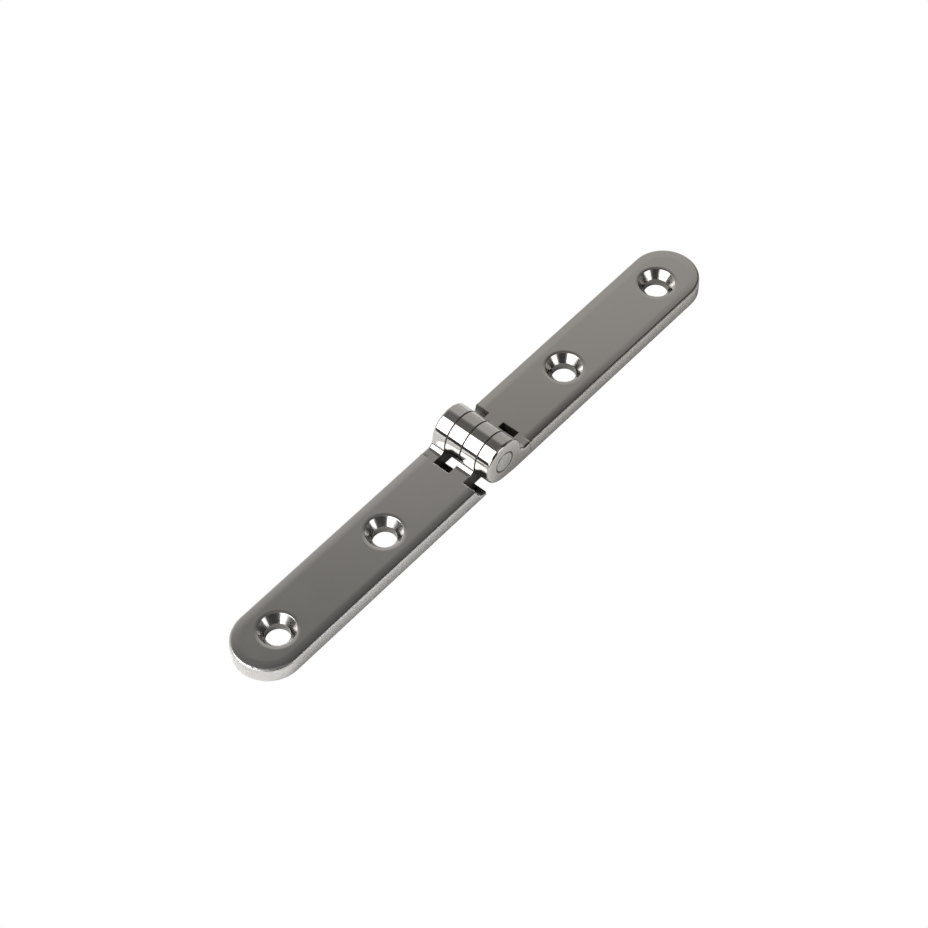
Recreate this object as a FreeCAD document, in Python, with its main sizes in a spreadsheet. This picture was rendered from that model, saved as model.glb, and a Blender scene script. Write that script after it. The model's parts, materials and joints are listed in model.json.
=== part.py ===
"""Cast strap hinge with four knuckles: two identical leaves and one pin.

Millimetres.  The hinge lies open and flat.  The origin is on the underside plane, straight
below the pin's axis and midway between the leaves' long sides.  +X runs along the right leaf,
+Y along the pin and +Z out of the top faces.  Both leaves are the same casting: the left one
is turned half a turn about Z, which also puts its knuckles into the right leaf's gaps.
"""
import FreeCAD, Part
import math
import os

import Sketcher

# Driving dimensions, each one a cell of the sheet.
DIMENSIONS = {
    # Leaf
    "leaf_width": 20.0,
    "leaf_reach": 90.75,
    "leaf_thickness": 4.8,
    "edge_radius": 0.7,
    # Barrel, cast in one with the leaves
    "pin_height": 6.8,
    "barrel_radius": 6.8,
    "root_radius": 2.0,
    "knuckle_pitch": 5.25,
    "knuckle_gap": 0.2,
    "seam_radius": 0.12,
    # Notch in a leaf, opposite each knuckle of the other leaf
    "lip_reach": 7.0,
    "lip_thickness": 0.6,
    "lip_corner_radius": 0.8,
    "notch_rim_radius": 0.3,
    # Pin and its bores
    "pin_radius": 3.2,
    "pin_bevel": 0.25,
    "bore_bevel": 0.15,
    "tight_bore_radius": 3.2,
    "free_bore_radius": 3.24,
    # Countersunk screw holes
    "near_screw": 36.75,
    "far_screw": 77.35,
    "screw_bore": 6.85,
    "sink_diameter": 10.4,
    "sink_angle": 75.0,
    "sink_lip_radius": 0.2,
    # Extra metal that the casting has below, ground off flat at the end
    "stock_depth": 1.0,
    "runout_radius": 100.0,
    "plate_start": 14.0,
    "arm_end": 16.0,
    "cut_margin": 2.0,
}

SHEET = "Dimensions"
ORIGIN = -1
X_AXIS = -1
Y_AXIS = -2
START = 1
END = 2
CENTRE = 3
TOLERANCE = 1e-3


def make_sheet(doc):
    """Put the driving dimensions in a spreadsheet, one named cell each."""
    sheet = doc.addObject("Spreadsheet::Sheet", SHEET)
    for row, (name, value) in enumerate(DIMENSIONS.items(), start=1):
        sheet.set(f"A{row}", name)
        sheet.set(f"B{row}", str(value))
        sheet.setAlias(f"B{row}", name)
    doc.recompute()
    return sheet


def cell(name):
    """The expression that reads one cell of the sheet."""
    return f"{SHEET}.{name}"


def origin_feature(body, role):
    """One of a body's own origin planes or axes."""
    for feature in body.Origin.OriginFeatures:
        if feature.Role == role:
            return feature
    raise LookupError(role)


def new_sketch(body, name, role, height=None):
    """A sketch on one of the body's origin planes, raised along its normal by an expression."""
    sketch = body.newObject("Sketcher::SketchObject", name)
    sketch.AttachmentSupport = [(origin_feature(body, role), "")]
    sketch.MapMode = "FlatFace"
    if height is not None:
        sketch.setExpression("AttachmentOffset.Base.z", height)
    return sketch


def constrain(sketch, kind, *where):
    """A constraint without a value."""
    return sketch.addConstraint(Sketcher.Constraint(kind, *where))


def dimension(sketch, name, expression, kind, *where):
    """A named dimension whose value comes from an expression."""
    index = sketch.addConstraint(Sketcher.Constraint(kind, *where))
    sketch.renameConstraint(index, name)
    sketch.setExpression(f"Constraints.{name}", expression)


def line(start, end):
    """A straight piece of a sketch."""
    return Part.LineSegment(FreeCAD.Vector(*start, 0), FreeCAD.Vector(*end, 0))


def arc(centre, radius, start_angle, end_angle):
    """An anticlockwise arc of a sketch, its angles in degrees."""
    circle = Part.Circle(FreeCAD.Vector(*centre, 0), FreeCAD.Vector(0, 0, 1), radius)
    return Part.ArcOfCircle(circle, math.radians(start_angle), math.radians(end_angle))


def new_feature(body, kind, name, profile):
    """A sketch-based feature of a body."""
    feature = body.newObject(kind, name)
    feature.Profile = profile
    return feature


def cut_checked(doc, body, feature):
    """Recompute a cut and make sure that it took metal away."""
    before = feature.BaseFeature.Shape.Volume
    doc.recompute()
    if not feature.Shape.Volume < before - TOLERANCE:
        raise ValueError(f"{feature.Name} cut nothing")
    body.Tip = feature


def dress_edges(doc, body, kind, name, size_property, alias, chooses):
    """Round or bevel the edges of the body's last feature that a test chooses."""
    base = body.Tip
    names = [f"Edge{i}" for i, edge in enumerate(base.Shape.Edges, start=1) if chooses(edge)]
    if not names:
        raise ValueError(f"{name} found no edge")
    feature = body.newObject(kind, name)
    feature.Base = (base, names)
    feature.setExpression(size_property, cell(alias))
    doc.recompute()
    if "Invalid" in feature.State:
        raise ValueError(f"{name} could not be made")
    body.Tip = feature


def lies_at(edge, axis, value):
    """Whether an edge's ends and middle share one value of a coordinate."""
    first, last = edge.ParameterRange
    points = [edge.valueAt(at) for at in (first, (first + last) / 2, last)]
    return all(abs(getattr(point, axis) - value) < TOLERANCE for point in points)


def is_circle(edge, radius):
    """Whether an edge is a circle, or part of one, of this radius."""
    return isinstance(edge.Curve, Part.Circle) and abs(edge.Curve.Radius - radius) < TOLERANCE


def draw_side_profile(body):
    """Barrel, root and arm seen along the pin, with the stock that is ground off below.

    A long run-out arc leaves the barrel just before its lowest point and runs down to the
    stock's bottom line, so every corner of the outline but the arm's end is smooth.
    """
    d = DIMENSIONS
    sketch = new_sketch(body, body.Name + "SideProfile", "XZ_Plane")
    top = d["leaf_thickness"]
    bottom = -d["stock_depth"]
    pin = (0, d["pin_height"])
    root_height = top + d["root_radius"]
    root_x = math.sqrt((d["barrel_radius"] + d["root_radius"]) ** 2 - (root_height - pin[1]) ** 2)
    root_angle = math.degrees(math.atan2(root_height - pin[1], root_x))
    runout_height = d["runout_radius"] + bottom
    runout_reach = d["runout_radius"] - d["barrel_radius"]
    runout_x = math.sqrt(runout_reach ** 2 - (runout_height - pin[1]) ** 2)
    runout_angle = 180 + math.degrees(math.atan2(runout_height - pin[1], runout_x))

    barrel = sketch.addGeometry(arc(pin, d["barrel_radius"], root_angle, runout_angle))
    runout = sketch.addGeometry(
        arc((runout_x, runout_height), d["runout_radius"], runout_angle, 270))
    under = sketch.addGeometry(line((runout_x, bottom), (d["arm_end"], bottom)))
    end = sketch.addGeometry(line((d["arm_end"], bottom), (d["arm_end"], top)))
    over = sketch.addGeometry(line((d["arm_end"], top), (root_x, top)))
    root = sketch.addGeometry(
        arc((root_x, root_height), d["root_radius"], 180 + root_angle, 270))

    constrain(sketch, "Tangent", barrel, END, runout, START)
    constrain(sketch, "Tangent", runout, END, under, START)
    constrain(sketch, "Coincident", under, END, end, START)
    constrain(sketch, "Coincident", end, END, over, START)
    constrain(sketch, "Tangent", over, END, root, END)
    constrain(sketch, "Tangent", root, START, barrel, START)
    constrain(sketch, "Horizontal", under)
    constrain(sketch, "Vertical", end)
    constrain(sketch, "Horizontal", over)
    constrain(sketch, "PointOnObject", barrel, CENTRE, Y_AXIS)
    dimension(sketch, "pin_height", cell("pin_height"),
              "DistanceY", ORIGIN, START, barrel, CENTRE, pin[1])
    dimension(sketch, "barrel_radius", cell("barrel_radius"),
              "Radius", barrel, d["barrel_radius"])
    dimension(sketch, "root_radius", cell("root_radius"), "Radius", root, d["root_radius"])
    dimension(sketch, "runout_radius", cell("runout_radius"),
              "Radius", runout, d["runout_radius"])
    dimension(sketch, "stock_depth", cell("stock_depth"),
              "DistanceY", under, END, ORIGIN, START, d["stock_depth"])
    dimension(sketch, "thickness", cell("leaf_thickness"),
              "DistanceY", ORIGIN, START, over, START, top)
    dimension(sketch, "arm_end", cell("arm_end"),
              "DistanceX", ORIGIN, START, end, START, d["arm_end"])
    return sketch


def draw_plate_outline(body):
    """The flat strap seen from above: two straight sides and a full-radius end."""
    d = DIMENSIONS
    sketch = new_sketch(body, body.Name + "PlateOutline", "XY_Plane", f"-{cell('stock_depth')}")
    half = d["leaf_width"] / 2
    start = d["plate_start"]
    centre = d["leaf_reach"] - half

    near = sketch.addGeometry(line((start, -half), (centre, -half)))
    tip = sketch.addGeometry(arc((centre, 0), half, -90, 90))
    far = sketch.addGeometry(line((centre, half), (start, half)))
    back = sketch.addGeometry(line((start, half), (start, -half)))

    constrain(sketch, "Tangent", near, END, tip, START)
    constrain(sketch, "Tangent", tip, END, far, START)
    constrain(sketch, "Coincident", far, END, back, START)
    constrain(sketch, "Coincident", back, END, near, START)
    constrain(sketch, "Horizontal", near)
    constrain(sketch, "Vertical", back)
    constrain(sketch, "PointOnObject", tip, CENTRE, X_AXIS)
    constrain(sketch, "Horizontal", far)
    dimension(sketch, "half_width", f"{cell('leaf_width')} / 2", "Radius", tip, half)
    dimension(sketch, "tip_centre", f"{cell('leaf_reach')} - {cell('leaf_width')} / 2",
              "DistanceX", ORIGIN, START, tip, CENTRE, centre)
    dimension(sketch, "start", cell("plate_start"),
              "DistanceX", ORIGIN, START, back, START, start)
    return sketch


def draw_stock_outline(body):
    """A rectangle that covers the whole underside."""
    d = DIMENSIONS
    sketch = new_sketch(body, body.Name + "StockOutline", "XY_Plane")
    left = -(d["barrel_radius"] + d["cut_margin"])
    right = d["leaf_reach"] + d["cut_margin"]
    half = d["leaf_width"] / 2 + d["cut_margin"]
    corners = [(left, -half), (right, -half), (right, half), (left, half)]
    sides = [sketch.addGeometry(line(a, b)) for a, b in zip(corners, corners[1:] + corners[:1])]
    for side, following in zip(sides, sides[1:] + sides[:1]):
        constrain(sketch, "Coincident", side, END, following, START)
    near, right_side, far, left_side = sides
    for side in (near, far):
        constrain(sketch, "Horizontal", side)
    for side in (right_side, left_side):
        constrain(sketch, "Vertical", side)
    margin = cell("cut_margin")
    dimension(sketch, "left", f"{cell('barrel_radius')} + {margin}",
              "DistanceX", near, START, ORIGIN, START, -left)
    dimension(sketch, "right", f"{cell('leaf_reach')} + {margin}",
              "DistanceX", ORIGIN, START, near, END, right)
    dimension(sketch, "near", f"{cell('leaf_width')} / 2 + {margin}",
              "DistanceY", near, START, ORIGIN, START, half)
    dimension(sketch, "far", f"{cell('leaf_width')} / 2 + {margin}",
              "DistanceY", ORIGIN, START, far, START, half)
    return sketch


def draw_gap_profile(body):
    """What is cut away for a knuckle of the other leaf, seen along the pin.

    The cut takes the barrel and leaves a thin lip at the bottom, from which a quarter-round
    scoop rises to the top face.
    """
    d = DIMENSIONS
    side = f"{cell('knuckle_pitch')} + {cell('knuckle_gap')} / 2"
    sketch = new_sketch(body, body.Name + "GapProfile", "XZ_Plane", side)
    margin = d["cut_margin"]
    left = -(d["barrel_radius"] + margin)
    bottom = -margin
    top = d["pin_height"] + d["barrel_radius"] + margin
    lip = (d["lip_reach"], d["lip_thickness"])
    scoop_radius = d["leaf_thickness"] - d["lip_thickness"]
    scoop_edge = d["lip_reach"] + scoop_radius

    floor = sketch.addGeometry(line((left, bottom), (lip[0], bottom)))
    edge = sketch.addGeometry(line((lip[0], bottom), lip))
    scoop = sketch.addGeometry(arc((lip[0], d["leaf_thickness"]), scoop_radius, 270, 360))
    rise = sketch.addGeometry(line((scoop_edge, d["leaf_thickness"]), (scoop_edge, top)))
    ceiling = sketch.addGeometry(line((scoop_edge, top), (left, top)))
    back = sketch.addGeometry(line((left, top), (left, bottom)))

    constrain(sketch, "Coincident", floor, END, edge, START)
    constrain(sketch, "Coincident", edge, END, scoop, START)
    constrain(sketch, "Tangent", scoop, END, rise, START)
    constrain(sketch, "Coincident", rise, END, ceiling, START)
    constrain(sketch, "Coincident", ceiling, END, back, START)
    constrain(sketch, "Coincident", back, END, floor, START)
    constrain(sketch, "Horizontal", floor)
    constrain(sketch, "Vertical", edge)
    constrain(sketch, "Vertical", rise)
    constrain(sketch, "Horizontal", ceiling)
    constrain(sketch, "Vertical", back)
    constrain(sketch, "Vertical", edge, END, scoop, CENTRE)
    dimension(sketch, "lip_reach", cell("lip_reach"),
              "DistanceX", ORIGIN, START, edge, START, lip[0])
    dimension(sketch, "lip_thickness", cell("lip_thickness"),
              "DistanceY", ORIGIN, START, edge, END, lip[1])
    dimension(sketch, "scoop_height", cell("leaf_thickness"),
              "DistanceY", ORIGIN, START, scoop, CENTRE, d["leaf_thickness"])
    dimension(sketch, "left", f"{cell('barrel_radius')} + {cell('cut_margin')}",
              "DistanceX", floor, START, ORIGIN, START, -left)
    dimension(sketch, "bottom", cell("cut_margin"),
              "DistanceY", floor, START, ORIGIN, START, margin)
    dimension(sketch, "top", f"{cell('pin_height')} + {cell('barrel_radius')} + {cell('cut_margin')}",
              "DistanceY", ORIGIN, START, ceiling, START, top)
    return sketch


def draw_pin_circle(body, alias):
    """A circle about the pin's axis, its radius in the named cell."""
    sketch = new_sketch(body, body.Name + "PinCircle", "XZ_Plane")
    centre = FreeCAD.Vector(0, DIMENSIONS["pin_height"], 0)
    circle = sketch.addGeometry(
        Part.Circle(centre, FreeCAD.Vector(0, 0, 1), DIMENSIONS[alias]))
    constrain(sketch, "PointOnObject", circle, CENTRE, Y_AXIS)
    dimension(sketch, "pin_height", cell("pin_height"),
              "DistanceY", ORIGIN, START, circle, CENTRE, DIMENSIONS["pin_height"])
    dimension(sketch, "radius", cell(alias), "Radius", circle, DIMENSIONS[alias])
    return sketch


def draw_screw_centres(body):
    """The two screw holes, on the leaf's centre line in its top face."""
    sketch = new_sketch(body, body.Name + "ScrewCentres", "XY_Plane", cell("leaf_thickness"))
    radius = DIMENSIONS["screw_bore"] / 2
    for alias in ("near_screw", "far_screw"):
        centre = FreeCAD.Vector(DIMENSIONS[alias], 0, 0)
        circle = sketch.addGeometry(Part.Circle(centre, FreeCAD.Vector(0, 0, 1), radius))
        constrain(sketch, "PointOnObject", circle, CENTRE, X_AXIS)
        dimension(sketch, alias, cell(alias),
                  "DistanceX", ORIGIN, START, circle, CENTRE, DIMENSIONS[alias])
        dimension(sketch, alias + "_radius", f"{cell('screw_bore')} / 2",
                  "Radius", circle, radius)
    return sketch


def cast_blank(doc, body):
    """The leaf with a full-width barrel and the stock below, its long edges rounded."""
    profile = draw_side_profile(body)
    barrel = new_feature(body, "PartDesign::Pad", body.Name + "Barrel", profile)
    barrel.SideType = "Symmetric"
    barrel.setExpression("Length", cell("leaf_width"))
    doc.recompute()

    outline = draw_plate_outline(body)
    plate = new_feature(body, "PartDesign::Pad", body.Name + "Plate", outline)
    plate.setExpression("Length", f"{cell('leaf_thickness')} + {cell('stock_depth')}")
    doc.recompute()
    body.Tip = plate

    half = DIMENSIONS["leaf_width"] / 2
    top = DIMENSIONS["leaf_thickness"]
    dress_edges(doc, body, "PartDesign::Fillet", body.Name + "EdgeRounding", "Radius",
                "edge_radius", lambda edge: is_circle(edge, half) and lies_at(edge, "z", top))


def grind_underside(doc, body):
    """Take the stock off below, which leaves a flat face with sharp edges."""
    outline = draw_stock_outline(body)
    ground = new_feature(body, "PartDesign::Pocket", body.Name + "GroundFace", outline)
    ground.setExpression("Length", f"{cell('stock_depth')} + {cell('cut_margin')}")
    cut_checked(doc, body, ground)


def cut_gaps(doc, body):
    """Make room for the other leaf's two knuckles."""
    profile = draw_gap_profile(body)
    gap = new_feature(body, "PartDesign::Pocket", body.Name + "Gap", profile)
    gap.setExpression("Length", f"{cell('knuckle_pitch')} + {cell('knuckle_gap')}")
    cut_checked(doc, body, gap)

    gaps = body.newObject("PartDesign::LinearPattern", body.Name + "Gaps")
    gaps.Originals = [gap]
    gaps.Direction = (origin_feature(body, "Y_Axis"), [""])
    gaps.Occurrences = 2
    gaps.setExpression("Length", f"2 * {cell('knuckle_pitch')}")
    doc.recompute()
    if not gaps.Shape.Volume < gap.Shape.Volume - TOLERANCE:
        raise ValueError("the second gap cut nothing")
    body.Tip = gaps


def break_edges(doc, body):
    """Soften the notches' rims, the outer lip's corner and the knuckles' sides."""
    d = DIMENSIONS
    top = d["leaf_thickness"]
    half = d["leaf_width"] / 2
    rim_x = d["lip_reach"] + d["leaf_thickness"] - d["lip_thickness"]
    dress_edges(doc, body, "PartDesign::Fillet", body.Name + "LipCorner", "Radius",
                "lip_corner_radius",
                lambda edge: lies_at(edge, "x", d["lip_reach"]) and lies_at(edge, "y", half))
    dress_edges(doc, body, "PartDesign::Fillet", body.Name + "NotchRims", "Radius",
                "notch_rim_radius",
                lambda edge: lies_at(edge, "x", rim_x) and lies_at(edge, "z", top))

    side_gap = d["knuckle_gap"] / 2
    seams = (-d["knuckle_pitch"] - side_gap, side_gap, d["knuckle_pitch"] - side_gap)
    dress_edges(doc, body, "PartDesign::Fillet", body.Name + "KnuckleSides", "Radius",
                "seam_radius",
                lambda edge: is_circle(edge, d["barrel_radius"])
                and any(lies_at(edge, "y", seam) for seam in seams))


def drill_screw_holes(doc, body):
    """Two countersunk screw holes with softly broken rims."""
    centres = draw_screw_centres(body)
    doc.recompute()
    holes = new_feature(body, "PartDesign::Hole", body.Name + "ScrewHoles", centres)
    holes.Threaded = False
    holes.DepthType = "ThroughAll"
    holes.HoleCutType = "Countersink"
    holes.HoleCutCustomValues = True
    holes.setExpression("Diameter", cell("screw_bore"))
    holes.setExpression("HoleCutDiameter", cell("sink_diameter"))
    holes.setExpression("HoleCutCountersinkAngle", cell("sink_angle"))
    cut_checked(doc, body, holes)

    rim = DIMENSIONS["sink_diameter"] / 2
    dress_edges(doc, body, "PartDesign::Fillet", body.Name + "SinkLips", "Radius",
                "sink_lip_radius", lambda edge: is_circle(edge, rim))


def bore_knuckles(doc, body, bore_alias):
    """The pin's bore, right through both knuckles, bevelled at the outer end."""
    circle = draw_pin_circle(body, bore_alias)
    bore = new_feature(body, "PartDesign::Pocket", body.Name + "PinBore", circle)
    bore.Type = "ThroughAll"
    bore.SideType = "Symmetric"
    cut_checked(doc, body, bore)

    outer = -DIMENSIONS["leaf_width"] / 2
    radius = DIMENSIONS[bore_alias]
    dress_edges(doc, body, "PartDesign::Chamfer", body.Name + "BoreBevel", "Size",
                "bore_bevel", lambda edge: is_circle(edge, radius) and lies_at(edge, "y", outer))


def make_leaf(doc, label, bore_alias, turn):
    """One leaf with its knuckles, turned about Z by an angle in degrees."""
    body = doc.addObject("PartDesign::Body", label.title().replace("_", ""))
    body.Label = label
    cast_blank(doc, body)
    grind_underside(doc, body)
    cut_gaps(doc, body)
    break_edges(doc, body)
    drill_screw_holes(doc, body)
    bore_knuckles(doc, body, bore_alias)
    body.Placement = FreeCAD.Placement(
        FreeCAD.Vector(0, 0, 0), FreeCAD.Rotation(FreeCAD.Vector(0, 0, 1), turn))
    return body


def make_pin(doc, label):
    """The pin, as long as the leaves are wide, with a small bevel on each end."""
    body = doc.addObject("PartDesign::Body", label.title().replace("_", ""))
    body.Label = label
    circle = draw_pin_circle(body, "pin_radius")
    rod = new_feature(body, "PartDesign::Pad", body.Name + "Rod", circle)
    rod.SideType = "Symmetric"
    rod.setExpression("Length", cell("leaf_width"))
    doc.recompute()
    body.Tip = rod
    radius = DIMENSIONS["pin_radius"]
    dress_edges(doc, body, "PartDesign::Chamfer", body.Name + "EndBevels", "Size",
                "pin_bevel", lambda edge: is_circle(edge, radius))
    body.Placement = FreeCAD.Placement()
    return body


def check_document(doc, pieces):
    """Stop if any object of the document failed, or if a piece's shape is not sound."""
    for item in doc.Objects:
        if "Invalid" in item.State or "Error" in item.State:
            raise ValueError(f"{item.Name} failed: {item.State}")
        if item.isDerivedFrom("Sketcher::SketchObject") and not item.FullyConstrained:
            raise ValueError(f"{item.Name} is not fully constrained")
    for piece in pieces:
        shape = piece.Shape
        if shape.isNull() or not shape.isValid() or len(shape.Solids) != 1:
            raise ValueError(f"{piece.Label} has no sound shape")


def main():
    doc = FreeCAD.newDocument("StrapHinge")
    make_sheet(doc)
    pieces = [
        make_leaf(doc, "right_leaf", "tight_bore_radius", 0),
        make_leaf(doc, "left_leaf", "free_bore_radius", 180),
        make_pin(doc, "hinge_pin"),
    ]
    doc.recompute()
    check_document(doc, pieces)
    os.makedirs("parts", exist_ok=True)
    for piece in pieces:
        piece.Shape.exportStep(f"parts/{piece.Label}.step")
        box = piece.Shape.BoundBox
        print(f"{piece.Label}: {piece.Shape.Volume:.1f} mm3, "
              f"X {box.XMin:.2f}..{box.XMax:.2f}, Y {box.YMin:.2f}..{box.YMax:.2f}, "
              f"Z {box.ZMin:.2f}..{box.ZMax:.2f}")


main()
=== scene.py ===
"""Strap hinge of polished stainless steel: materials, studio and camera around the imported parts.

Lengths are in metres, in the part's own frame: the leaves lie along X with their flat backs on z = 0, and
the pin lies along Y. The surface finish is given in millimetres instead, because its features are so fine.
"""

import json
import math
from types import SimpleNamespace

import bpy
from mathutils import Matrix, Vector


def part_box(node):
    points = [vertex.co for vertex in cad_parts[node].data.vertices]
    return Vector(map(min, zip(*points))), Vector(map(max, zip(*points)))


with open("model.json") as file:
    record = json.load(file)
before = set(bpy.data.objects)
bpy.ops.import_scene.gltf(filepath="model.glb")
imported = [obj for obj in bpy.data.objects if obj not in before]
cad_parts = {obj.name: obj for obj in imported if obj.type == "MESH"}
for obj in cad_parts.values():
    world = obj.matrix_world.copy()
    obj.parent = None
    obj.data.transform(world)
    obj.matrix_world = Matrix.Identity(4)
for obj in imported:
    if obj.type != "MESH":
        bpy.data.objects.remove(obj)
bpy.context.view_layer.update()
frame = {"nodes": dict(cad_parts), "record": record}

MM = 0.001

# --- sizes taken from the frame ---------------------------------------------------------------------------

right_low, right_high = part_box("right_leaf")
pin_low, pin_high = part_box("hinge_pin")

LEAF_REACH = right_high.x
LEAF_HALF_WIDTH = right_high.y

# These four are in millimetres, for the surface finish.
TIP_CENTRE = (LEAF_REACH - LEAF_HALF_WIDTH) / MM
BARREL_RADIUS = -right_low.x / MM
PIN_RADIUS = (pin_high.x - pin_low.x) / 2 / MM
PIN_HEIGHT = (pin_high.z + pin_low.z) / 2 / MM


def screw_hole_places():
    """How far the inner and the outer screw hole of a leaf are from the pin's axis, in millimetres."""
    mounts = frame["record"]["mounts"]
    places = [m["pos_m"][0] / MM for m in mounts if m["kind"] == "bore"]
    return sorted(place for place in places if place > 0)


# --- surface finish, in millimetres -----------------------------------------------------------------------

# The two leaves are one steel; the right leaf's colour is darker than the left's, painted shade for how the
# light falls on each.
LIT_LEFT_STEEL_COLOUR = (0.600, 0.583, 0.571)
SHADED_RIGHT_STEEL_COLOUR = (0.535, 0.512, 0.492)
PIN_COLOUR = (0.60, 0.588, 0.565)
# Painted shade: the dark colour painted into the recesses, the screw bores and round the pin's ends.
RECESS_SHADE_COLOUR = (0.150, 0.145, 0.137)
LEAF_SHADES = (0.90, 1.08)
PIN_SHADES = (0.88, 1.06)

KNUCKLE_PITCH = 5.25
SINK_RADIUS = 5.25

# Each span says where an area begins to show and where it shows fully. The facings go from -1 to 1: how far
# the surface faces along an axis. The others are distances.
SIDE_FACING = (0.35, 0.10)
BACK_FACING = (-0.90, -0.99)
TOP_FACING = (0.5, 0.8)
ROUNDING_FROM_SIDE = (0.10, 0.30)
ROUNDING_FROM_TOP = (0.95, 0.85)
OFF_BARREL = (10.6, 11.1)
IN_SCREW_BORE = (3.9, 3.5)
IN_SINK = (SINK_RADIUS + 0.1, SINK_RADIUS - 0.1)
ABOVE_SCREW_BORE = (2.4, 2.6)
CLEAR_OF_SINK = (5.6, 6.0)

# The spans of the recesses beside and under the knuckles, where shade is painted into the colour.
INSIDE_THE_SIDES = (9.92, 9.80)
INSIDE_THE_NOTCHES = (11.8, 11.5)
NOTCH_WALL_FACING = (0.80, 0.95)
NOTCH_END_FACING = (0.70, 0.90)
NOTCH_END = (9.0, 10.0)
NOTCH_RIM = (11.0, 11.15)
NOTCH_RIM_FACING = (0.98, 0.88)
IN_PIN_BORE = (PIN_RADIUS + 0.32, PIN_RADIUS + 0.10)
UNDER_BARREL_FACING = (-0.08, -0.30)
UNDER_BARREL_HEIGHT = (0.15, 0.4)
ON_BARREL = (BARREL_RADIUS + 0.15, BARREL_RADIUS + 0.05)
IN_SEAM = (0.30, 0.19)

# The buffed edges. The falls are slopes: the -Y side's at its inner and at its outer end, and the +Y side's.
LEFT_FALLS = (0.095, 0.125, 0.065)
RIGHT_FALLS = (0.115, 0.055, 0.090)
INNER_TO_OUTER = (20.0, 57.0)
NEAR_TO_FAR = (-5.0, 5.0)
BUFFED_FROM = 6.9
BUFFED_WIDTH = 2.4
RIM_WIDTH = 1.0
RIM_FALL = 0.15

# Streaks along the leaf (how long, how wide), and how deep they are.
GRAIN_SIZE = (9.0, 0.10)
FINE_GRAIN_SIZE = (2.2, 0.05)
POLISHED_DEPTH = 0.00022
BRUSHED_DEPTH = 0.0050

# What each area and each noise adds to the roughness of the polish.
POLISH = 0.07
TOP_ROUGHNESS = 0.07
SIDE_ROUGHNESS = 0.17
BACK_ROUGHNESS = 0.24
CONE_ROUGHNESS = 0.10
ROUNDING_ROUGHNESS = 0.28
RECESS_ROUGHNESS = 0.35
SWIRL_ROUGHNESS = 0.05
CLOUD_ROUGHNESS = 0.06

# How light the steel is between its two shades, and how much of the painted recess shade the screw bores
# get.
TONE_BASE = 0.35
TONE_CLOUD = 0.35
TONE_GRAIN = 0.9
BORE_SHADE_SHARE = 0.72

PIN_RIM_SHADE_SPAN = (PIN_RADIUS - 0.36, PIN_RADIUS - 0.16)
PIN_RIM_SHADE = 0.96
PIN_ROUGHNESS = 0.20
PIN_RING_ROUGHNESS = 0.10
PIN_CLOUD_ROUGHNESS = 0.05
PIN_RING_SCALE = 9.0
PIN_RING_DEPTH = 0.0012


class Nodes:
    """A node tree with short calls for the arithmetic that the finishes are made of."""

    def __init__(self, tree):
        self.tree = tree

    def add(self, kind, **settings):
        node = self.tree.nodes.new(kind)
        for name, value in settings.items():
            setattr(node, name, value)
        return node

    def link(self, value, socket):
        """Feeds a socket from another socket, or sets it to a plain value."""
        if isinstance(value, bpy.types.NodeSocket):
            self.tree.links.new(value, socket)
        else:
            socket.default_value = value

    def math(self, operation, *values):
        node = self.add("ShaderNodeMath", operation=operation)
        for socket, value in zip(node.inputs, values):
            self.link(value, socket)
        return node.outputs[0]

    def chain(self, operation, values):
        total = values[0]
        for value in values[1:]:
            total = self.math(operation, total, value)
        return total

    def add_up(self, *values):
        return self.chain("ADD", values)

    def times(self, *values):
        return self.chain("MULTIPLY", values)

    def largest(self, *values):
        return self.chain("MAXIMUM", values)

    def size_of(self, value):
        return self.math("ABSOLUTE", value)

    def minus(self, first, second):
        return self.math("SUBTRACT", first, second)

    def length(self, first, second):
        squares = self.add_up(self.times(first, first), self.times(second, second))
        return self.math("SQRT", squares)

    def ramp(self, value, span, low=0.0, high=1.0):
        """A smooth step from low at the span's first value to high at its second."""
        start, end = span
        node = self.add("ShaderNodeMapRange", interpolation_type="SMOOTHSTEP")
        self.link(value, node.inputs["Value"])
        node.inputs["From Min"].default_value = start
        node.inputs["From Max"].default_value = end
        node.inputs["To Min"].default_value = low
        node.inputs["To Max"].default_value = high
        return node.outputs["Result"]

    def split(self, vector):
        node = self.add("ShaderNodeSeparateXYZ")
        self.link(vector, node.inputs[0])
        return node.outputs

    def join(self, x, y, z):
        node = self.add("ShaderNodeCombineXYZ")
        for socket, value in zip(node.inputs, (x, y, z)):
            self.link(value, socket)
        return node.outputs[0]

    def noise(self, vector, scale=1.0, detail=2.0, roughness=0.5):
        node = self.add("ShaderNodeTexNoise", noise_dimensions="3D")
        self.link(vector, node.inputs["Vector"])
        node.inputs["Scale"].default_value = scale
        node.inputs["Detail"].default_value = detail
        node.inputs["Roughness"].default_value = roughness
        return node.outputs["Fac"]

    def mix_colour(self, factor, first, second):
        node = self.add("ShaderNodeMix", data_type="RGBA")
        self.link(factor, node.inputs["Factor"])
        self.link(first, node.inputs[6])
        self.link(second, node.inputs[7])
        return node.outputs[2]

    def bump(self, height):
        """The shading normal of a height that is given in metres."""
        node = self.add("ShaderNodeBump")
        node.inputs["Strength"].default_value = 1.0
        node.inputs["Distance"].default_value = 1.0
        self.link(height, node.inputs["Height"])
        return node.outputs["Normal"]


def opaque(colour, shade=1.0):
    return tuple(part * shade for part in colour) + (1.0,)


def new_material(name):
    """A metal material, its nodes and its shader."""
    material = bpy.data.materials.new(name)
    material.use_nodes = True
    material.node_tree.nodes.clear()
    nodes = Nodes(material.node_tree)
    shader = nodes.add("ShaderNodeBsdfPrincipled")
    output = nodes.add("ShaderNodeOutputMaterial")
    nodes.link(shader.outputs[0], output.inputs["Surface"])
    shader.inputs["Metallic"].default_value = 1.0
    return material, nodes, shader


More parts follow.
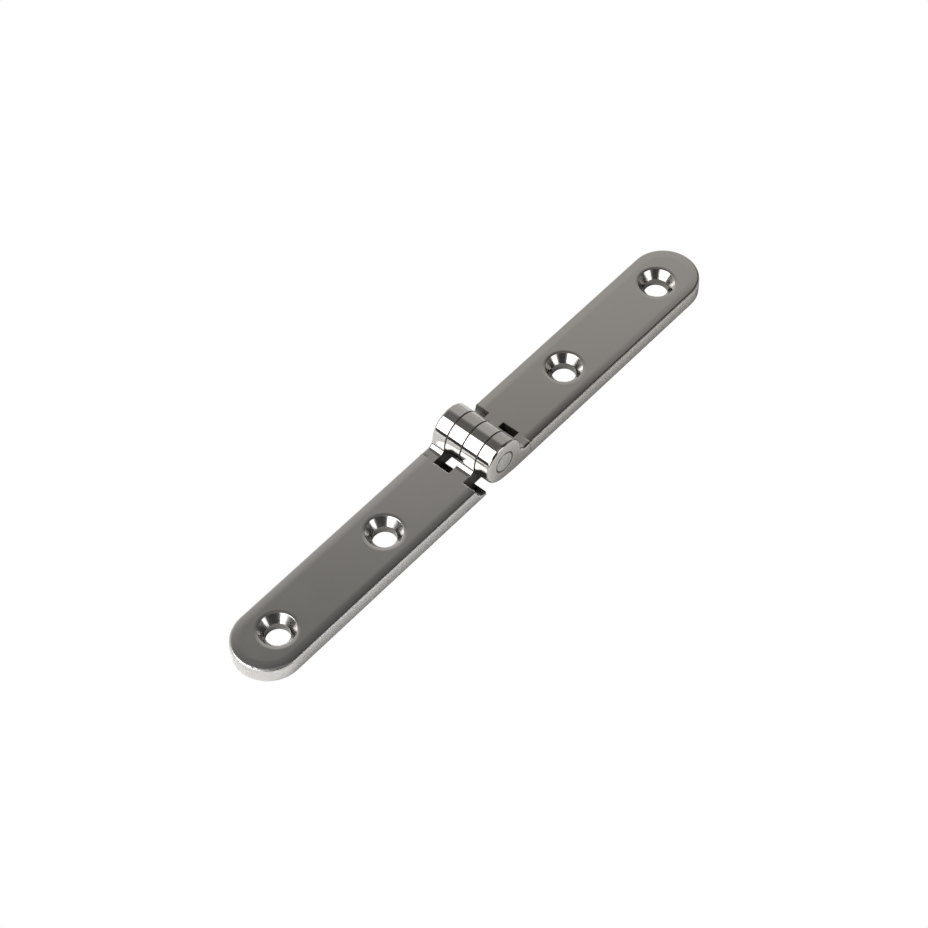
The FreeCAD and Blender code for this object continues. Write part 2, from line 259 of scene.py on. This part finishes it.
def part_place(nodes):
    """The point in the part's own frame, in millimetres, and its three numbers."""
    coordinates = nodes.add("ShaderNodeTexCoord")
    scaled = nodes.add("ShaderNodeVectorMath", operation="SCALE")
    nodes.link(coordinates.outputs["Object"], scaled.inputs[0])
    scaled.inputs["Scale"].default_value = 1 / MM
    return scaled.outputs[0], nodes.split(scaled.outputs[0])


def facing(nodes):
    """How far the surface faces each axis, from -1 to 1, in the part's own frame."""
    geometry = nodes.add("ShaderNodeNewGeometry")
    turned = nodes.add("ShaderNodeVectorTransform", vector_type="NORMAL")
    turned.convert_from = "WORLD"
    turned.convert_to = "OBJECT"
    nodes.link(geometry.outputs["Normal"], turned.inputs[0])
    return nodes.split(turned.outputs[0])


def from_centre_line(nodes, x, y):
    """The distance from a leaf's centre line: across it on the straight part, radial on the round tip."""
    beyond = nodes.largest(nodes.minus(nodes.size_of(x), TIP_CENTRE), 0.0)
    return nodes.length(beyond, y)


def from_nearest_hole(nodes, x, y):
    """The distance from the axis of the nearest screw hole. The two leaves' holes mirror each other."""
    inner, outer = screw_hole_places()
    along = nodes.size_of(x)
    to_inner = nodes.size_of(nodes.minus(along, inner))
    to_outer = nodes.size_of(nodes.minus(along, outer))
    return nodes.length(nodes.math("MINIMUM", to_inner, to_outer), y)


def from_pin_axis(nodes, x, z):
    return nodes.length(x, nodes.minus(z, PIN_HEIGHT))


def buffed_fall(nodes, towards_edge, reach, slope):
    """A height that drops towards an edge, as a buffing wheel leaves it.

    towards_edge is how far the point is past the start of the fall. The drop grows as its square, up to the
    given slope at reach, where the edge's own rounding takes over.
    """
    past = nodes.math("MINIMUM", nodes.largest(towards_edge, 0.0), reach)
    return nodes.times(past, past, -slope / (2 * reach))


def streaks(nodes, x, y, z, size):
    """Coordinates for a grain that runs along X: long in that direction and fine across it."""
    along, across = size
    return nodes.join(nodes.times(x, 1 / along), nodes.times(y, 1 / across), nodes.times(z, 1 / across))


def seam_lines(nodes, y):
    """The three seams between the knuckles, as lines of painted shade in the gaps."""
    from_middle_seam = nodes.size_of(y)
    from_outer_seam = nodes.size_of(nodes.minus(from_middle_seam, KNUCKLE_PITCH))
    return nodes.ramp(nodes.math("MINIMUM", from_middle_seam, from_outer_seam), IN_SEAM)


def shaded_recesses(nodes, x, y, z, face_x, face_y, face_z):
    """Where shade is painted into the colour and the polish is rougher: the notches, the seams, the pin's
    bore and under the barrel.
    """
    along = nodes.size_of(x)
    between_sides = nodes.ramp(nodes.size_of(y), INSIDE_THE_SIDES)
    inside = nodes.times(between_sides, nodes.ramp(along, INSIDE_THE_NOTCHES))
    walls = nodes.times(nodes.ramp(nodes.size_of(face_y), NOTCH_WALL_FACING), inside)
    at_ends = nodes.times(nodes.ramp(nodes.size_of(face_x), NOTCH_END_FACING), inside)
    ends = nodes.times(at_ends, nodes.ramp(along, NOTCH_END))
    rims = nodes.times(inside, nodes.ramp(along, NOTCH_RIM), nodes.ramp(face_z, NOTCH_RIM_FACING))
    from_pin = from_pin_axis(nodes, x, z)
    bore = nodes.ramp(from_pin, IN_PIN_BORE)
    under = nodes.times(nodes.ramp(face_z, UNDER_BARREL_FACING), nodes.ramp(z, UNDER_BARREL_HEIGHT))
    seams = nodes.times(seam_lines(nodes, y), nodes.ramp(from_pin, ON_BARREL))
    return nodes.largest(walls, ends, rims, bore, under, seams)


def leaf_areas(nodes, x, y, z, hole):
    """How much of each area's finish a point has, from 0 to 1."""
    face_x, face_y, face_z = facing(nodes)
    side = nodes.ramp(nodes.size_of(face_z), SIDE_FACING)
    off_barrel = nodes.ramp(nodes.size_of(x), OFF_BARREL)
    past_side = nodes.ramp(face_z, ROUNDING_FROM_SIDE)
    rounding = nodes.times(past_side, nodes.ramp(face_z, ROUNDING_FROM_TOP))
    return SimpleNamespace(
        side=side,
        back=nodes.ramp(face_z, BACK_FACING),
        off_barrel=off_barrel,
        top=nodes.times(nodes.ramp(face_z, TOP_FACING), off_barrel),
        recess_shade=shaded_recesses(nodes, x, y, z, face_x, face_y, face_z),
        bore=nodes.times(nodes.ramp(hole, IN_SCREW_BORE), side),
        cone=nodes.times(nodes.ramp(hole, IN_SINK), nodes.ramp(z, ABOVE_SCREW_BORE)),
        rounding=nodes.times(rounding, off_barrel, nodes.ramp(hole, CLEAR_OF_SINK)),
    )


def leaf_textures(nodes, place, x, y, z):
    """The streaks of the brushing, and the clouds and swirls that a hand polish leaves."""
    return SimpleNamespace(
        grain=nodes.noise(streaks(nodes, x, y, z, GRAIN_SIZE), detail=3.0, roughness=0.6),
        fine_grain=nodes.noise(streaks(nodes, x, y, z, FINE_GRAIN_SIZE), detail=2.0, roughness=0.5),
        cloud=nodes.noise(place, scale=0.11, detail=3.0, roughness=0.55),
        swirl=nodes.noise(place, scale=1.4, detail=4.0, roughness=0.6),
    )


def leaf_colour(nodes, colour, areas, textures):
    cloud_tone = nodes.times(textures.cloud, TONE_CLOUD)
    grain_tone = nodes.times(textures.fine_grain, areas.side, TONE_GRAIN)
    tone = nodes.add_up(TONE_BASE, cloud_tone, grain_tone)
    dark, light = (opaque(colour, shade) for shade in LEAF_SHADES)
    bright_steel = nodes.mix_colour(tone, dark, light)
    # Painted shade: the screw bores are darkened towards the recess colour.
    bore_shade = nodes.times(areas.bore, BORE_SHADE_SHARE)
    bore_shaded_steel = nodes.mix_colour(bore_shade, bright_steel, opaque(RECESS_SHADE_COLOUR))
    # Painted shade: the recesses take the dark recess colour.
    return nodes.mix_colour(areas.recess_shade, bore_shaded_steel, opaque(RECESS_SHADE_COLOUR))


def leaf_roughness(nodes, areas, textures):
    return nodes.add_up(
        POLISH,
        nodes.times(areas.top, TOP_ROUGHNESS),
        nodes.times(areas.side, SIDE_ROUGHNESS),
        nodes.times(areas.back, BACK_ROUGHNESS),
        nodes.times(areas.cone, CONE_ROUGHNESS),
        nodes.times(areas.rounding, ROUNDING_ROUGHNESS),
        nodes.times(areas.recess_shade, RECESS_ROUGHNESS),
        nodes.times(nodes.minus(textures.swirl, 0.5), SWIRL_ROUGHNESS),
        nodes.times(nodes.minus(textures.cloud, 0.5), CLOUD_ROUGHNESS),
    )


def leaf_edge_fall(nodes, x, y, falls):
    """The fall of the flats towards the leaf's outline, with its own steepness on each side."""
    past_start = nodes.minus(from_centre_line(nodes, x, y), BUFFED_FROM)
    near_inner, near_outer, far = falls
    near = nodes.ramp(nodes.size_of(x), INNER_TO_OUTER, near_inner, near_outer)
    far_share = nodes.ramp(y, NEAR_TO_FAR)
    near_share = nodes.minus(1.0, far_share)
    steepness = nodes.add_up(nodes.times(near, near_share), nodes.times(far_share, far))
    return nodes.times(buffed_fall(nodes, past_start, BUFFED_WIDTH, slope=1.0), steepness)


def leaf_height(nodes, x, y, hole, areas, textures, falls):
    """The height of the finish over the plain surface, in metres: buffed edges and fine streaks."""
    edge_fall = nodes.times(leaf_edge_fall(nodes, x, y, falls), areas.off_barrel)
    towards_rim = nodes.minus(SINK_RADIUS + RIM_WIDTH, hole)
    rim_fall = buffed_fall(nodes, towards_rim, RIM_WIDTH, RIM_FALL)
    all_falls = nodes.times(nodes.add_up(edge_fall, rim_fall), nodes.minus(1.0, areas.back))
    brushed = nodes.largest(areas.side, areas.back)
    depth = nodes.add_up(POLISHED_DEPTH, nodes.times(brushed, BRUSHED_DEPTH))
    scratches = nodes.times(nodes.add_up(textures.grain, textures.fine_grain), depth)
    return nodes.times(nodes.add_up(all_falls, scratches), MM)


def leaf_steel(name, colour, falls):
    """Polished stainless steel: buffed edges on the flats, a mirror-like barrel and brushed side walls."""
    material, nodes, shader = new_material(name)
    place, (x, y, z) = part_place(nodes)
    hole = from_nearest_hole(nodes, x, y)
    areas = leaf_areas(nodes, x, y, z, hole)
    textures = leaf_textures(nodes, place, x, y, z)
    nodes.link(leaf_colour(nodes, colour, areas, textures), shader.inputs["Base Color"])
    nodes.link(leaf_roughness(nodes, areas, textures), shader.inputs["Roughness"])
    height = leaf_height(nodes, x, y, hole, areas, textures, falls)
    nodes.link(nodes.bump(height), shader.inputs["Normal"])
    return material


def pin_steel():
    """The pin's cut ends: turned rings round the axis, duller than the leaves, and painted shade round their
    edge, where the pin meets its bore.
    """
    material, nodes, shader = new_material("pin_steel_turned")
    place, (x, _, z) = part_place(nodes)
    radius = from_pin_axis(nodes, x, z)
    outwards = nodes.join(nodes.times(radius, PIN_RING_SCALE), 0.0, 0.0)
    rings = nodes.noise(outwards, detail=3.0, roughness=0.6)
    cloud = nodes.noise(place, scale=0.6, detail=3.0, roughness=0.55)
    dark, light = (opaque(PIN_COLOUR, shade) for shade in PIN_SHADES)
    turned = nodes.mix_colour(cloud, dark, light)
    # Painted shade: a dark ring round the edge of each end of the pin.
    rim_shade = nodes.times(nodes.ramp(radius, PIN_RIM_SHADE_SPAN), PIN_RIM_SHADE)
    nodes.link(nodes.mix_colour(rim_shade, turned, opaque(RECESS_SHADE_COLOUR)), shader.inputs["Base Color"])
    ring_roughness = nodes.times(rings, PIN_RING_ROUGHNESS)
    cloud_roughness = nodes.times(cloud, PIN_CLOUD_ROUGHNESS)
    roughness = nodes.add_up(PIN_ROUGHNESS, ring_roughness, cloud_roughness)
    nodes.link(roughness, shader.inputs["Roughness"])
    nodes.link(nodes.bump(nodes.times(rings, PIN_RING_DEPTH * MM)), shader.inputs["Normal"])
    return material


def dress(node_name, material):
    """Puts one material on the whole of a node."""
    mesh = frame["nodes"][node_name].data
    for index in range(len(mesh.materials)):
        mesh.materials[index] = material
    if not mesh.materials:
        mesh.materials.append(material)


dress("left_leaf", leaf_steel("left_leaf_steel", LIT_LEFT_STEEL_COLOUR, LEFT_FALLS))
dress("right_leaf", leaf_steel("right_leaf_steel", SHADED_RIGHT_STEEL_COLOUR, RIGHT_FALLS))
dress("hinge_pin", pin_steel())


# --- studio -----------------------------------------------------------------------------------------------

FLOOR_SIZE = 12.0
SWEEP_HEIGHT = -LEAF_REACH
SWEEP_COLOUR = (1.0, 1.0, 1.0)
SWEEP_GLOW = 1.0
TABLE_COLOUR = (0.62, 0.62, 0.61)
TABLE_ROUGHNESS = 0.9

LEFT_RADIANCE = 3.2
FRONT_RADIANCE = 2.2
FILL_RADIANCE = 4.3

# The room's glows and the directions that they fill. Each span goes from a glow's edge to its full strength.
ROOM_COLOUR = (1.0, 0.98, 0.95)
ROOM_GLOW = 0.06
CEILING_GLOW = 0.12
WALL_GLOW = 0.37
LOW_WALL_GLOW = 0.08
RIGHT_GLOW = 0.18
OVERHEAD_GLOW = 0.30
FAR_SIDE_BACK = (0.05, 0.40)
FAR_SIDE_ACROSS = (-0.75, -0.30)
WALL_TOP = (0.86, 0.72)
LOW_WALL_TOP = (0.50, 0.10)
RIGHT_SIDE_ACROSS = (0.58, 0.68)
RIGHT_SIDE_FRONT = (0.15, -0.15)
RIGHT_SIDE_TOP = (0.70, 0.40)
OVERHEAD = (0.945, 0.985)


def flat_card(name, size):
    half = size / 2
    mesh = bpy.data.meshes.new(name)
    corners = [(-half, -half, 0), (half, -half, 0), (half, half, 0), (-half, half, 0)]
    mesh.from_pydata(corners, [], [(0, 1, 2, 3)])
    card = bpy.data.objects.new(name, mesh)
    bpy.context.scene.collection.objects.link(card)
    return card


def matt_material(name, colour, roughness):
    material, _, shader = new_material(name)
    shader.inputs["Metallic"].default_value = 0.0
    shader.inputs["Roughness"].default_value = roughness
    shader.inputs["Base Color"].default_value = opaque(colour)
    return material


def glowing_material(name, colour, strength):
    material = bpy.data.materials.new(name)
    material.use_nodes = True
    material.node_tree.nodes.clear()
    nodes = Nodes(material.node_tree)
    glow = nodes.add("ShaderNodeEmission")
    glow.inputs["Color"].default_value = opaque(colour)
    glow.inputs["Strength"].default_value = strength
    output = nodes.add("ShaderNodeOutputMaterial")
    nodes.link(glow.outputs[0], output.inputs["Surface"])
    return material


def lay_floor():
    """A table top that the steel mirrors, and the even white of a lit sweep that the eye sees.

    The sweep lies below the reach of a leaf that hangs straight down, so that the leaf stays in view.
    """
    table = flat_card("table_top", FLOOR_SIZE)
    table.data.materials.append(matt_material("table_matt", TABLE_COLOUR, TABLE_ROUGHNESS))
    table.visible_camera = False
    sweep = flat_card("white_sweep", FLOOR_SIZE)
    sweep.location.z = SWEEP_HEIGHT
    sweep.data.materials.append(glowing_material("sweep_white", SWEEP_COLOUR, SWEEP_GLOW))
    sweep.visible_glossy = False
    sweep.visible_diffuse = False
    sweep.visible_shadow = False


def world_light():
    """A dim room, paler on its far side, with a faint glow from the right and from straight overhead."""
    world = bpy.data.worlds.new("studio_room")
    world.use_nodes = True
    world.node_tree.nodes.clear()
    nodes = Nodes(world.node_tree)
    coordinates = nodes.add("ShaderNodeTexCoord")
    x, y, z = nodes.split(coordinates.outputs["Generated"])
    far_side = nodes.times(nodes.ramp(y, FAR_SIDE_BACK), nodes.ramp(x, FAR_SIDE_ACROSS))
    wall = nodes.ramp(z, WALL_TOP, high=WALL_GLOW)
    low_wall = nodes.ramp(z, LOW_WALL_TOP, high=LOW_WALL_GLOW)
    right_side = nodes.times(nodes.ramp(x, RIGHT_SIDE_ACROSS), nodes.ramp(y, RIGHT_SIDE_FRONT))
    strength = nodes.add_up(
        ROOM_GLOW,
        nodes.times(far_side, nodes.add_up(CEILING_GLOW, wall, low_wall)),
        nodes.times(right_side, nodes.ramp(z, RIGHT_SIDE_TOP, high=RIGHT_GLOW)),
        nodes.ramp(z, OVERHEAD, high=OVERHEAD_GLOW),
    )
    background = nodes.add("ShaderNodeBackground")
    background.inputs["Color"].default_value = opaque(ROOM_COLOUR)
    nodes.link(strength, background.inputs["Strength"])
    output = nodes.add("ShaderNodeOutputWorld")
    nodes.link(background.outputs[0], output.inputs["Surface"])
    bpy.context.scene.world = world


def softbox(name, low_left, low_right, high_left, radiance):
    """A rectangular soft light of even radiance. Its corners are named as they look from the part."""
    low_left, low_right, high_left = Vector(low_left), Vector(low_right), Vector(high_left)
    across = low_left - low_right
    side = across.normalized()
    rise = high_left - low_left
    rise = rise - side * rise.dot(side)
    up = rise.normalized()
    data = bpy.data.lights.new(name, "AREA")
    data.shape = "RECTANGLE"
    data.size = across.length
    data.size_y = rise.length
    data.energy = radiance * math.pi * across.length * rise.length
    lamp = bpy.data.objects.new(name, data)
    axes = Matrix((side, up, side.cross(up))).transposed()
    lamp.matrix_world = Matrix.Translation((low_left + low_right + rise) / 2) @ axes.to_4x4()
    bpy.context.scene.collection.objects.link(lamp)
    return lamp


def left_softboxes():
    """The large light past the left leaf's tip: a low panel, and a narrower one leaning over the part."""
    low_left = (-0.60, -0.20, 0.095)
    low_right = (-0.60, 0.548, 0.200)
    high_left = (-0.50, -0.20, 0.38)
    softbox("left_low_panel", low_left, low_right, high_left, LEFT_RADIANCE)
    low_left = (-0.50, 0.13, 0.35)
    low_right = (-0.50, 0.58, 0.35)
    high_left = (-0.23, 0.13, 0.97)
    softbox("left_high_panel", low_left, low_right, high_left, LEFT_RADIANCE)


def front_softbox():
    """A smaller upright light, close in front of the part and to the right of the camera."""
    low_left = (0.456, -0.962, 0.07)
    low_right = (-0.007, -0.362, 0.07)
    high_left = (0.456, -0.962, 0.42)
    softbox("front_softbox", low_left, low_right, high_left, FRONT_RADIANCE)


def table_fill():
    """A soft light for the table alone, from the left: the steel doesn't mirror it."""
    low_left = (-1.30, -0.29, 0.22)
    low_right = (-1.30, 0.83, 0.22)
    high_left = (-0.35, -0.29, 1.60)
    lamp = softbox("table_fill", low_left, low_right, high_left, FILL_RADIANCE)
    lamp.visible_glossy = False
    lamp.visible_camera = False


lay_floor()
world_light()
left_softboxes()
front_softbox()
table_fill()


# --- camera -----------------------------------------------------------------------------------------------

CAMERA_TURN = math.radians(-47.614)
CAMERA_TILT = math.radians(52.405)
CAMERA_ROLL = math.radians(-1.523)
CAMERA_DISTANCE = 703.082 * MM
CAMERA_TARGET = Vector((-3.624 * MM, 1.310 * MM, 0.0))
CAMERA_LENS = 101.262
CAMERA_SENSOR = 36.0
CAMERA_CLIP_START = 0.01
CAMERA_CLIP_END = 50.0


def place_camera():
    back_x = math.sin(CAMERA_TURN) * math.cos(CAMERA_TILT)
    back_y = -math.cos(CAMERA_TURN) * math.cos(CAMERA_TILT)
    back = Vector((back_x, back_y, math.sin(CAMERA_TILT)))
    right = (-back).cross(Vector((0, 0, 1))).normalized()
    up = right.cross(-back)
    turned_right = right * math.cos(CAMERA_ROLL) + up * math.sin(CAMERA_ROLL)
    turned_up = up * math.cos(CAMERA_ROLL) - right * math.sin(CAMERA_ROLL)
    axes = Matrix((turned_right, turned_up, back)).transposed()
    data = bpy.data.cameras.new("camera")
    data.lens = CAMERA_LENS
    data.sensor_width = CAMERA_SENSOR
    data.clip_start = CAMERA_CLIP_START
    data.clip_end = CAMERA_CLIP_END
    data.dof.use_dof = False
    camera = bpy.data.objects.new("camera", data)
    camera.matrix_world = Matrix.Translation(CAMERA_TARGET + back * CAMERA_DISTANCE) @ axes.to_4x4()
    bpy.context.scene.collection.objects.link(camera)
    bpy.context.scene.camera = camera


place_camera()
bpy.context.scene.view_settings.view_transform = "Standard"
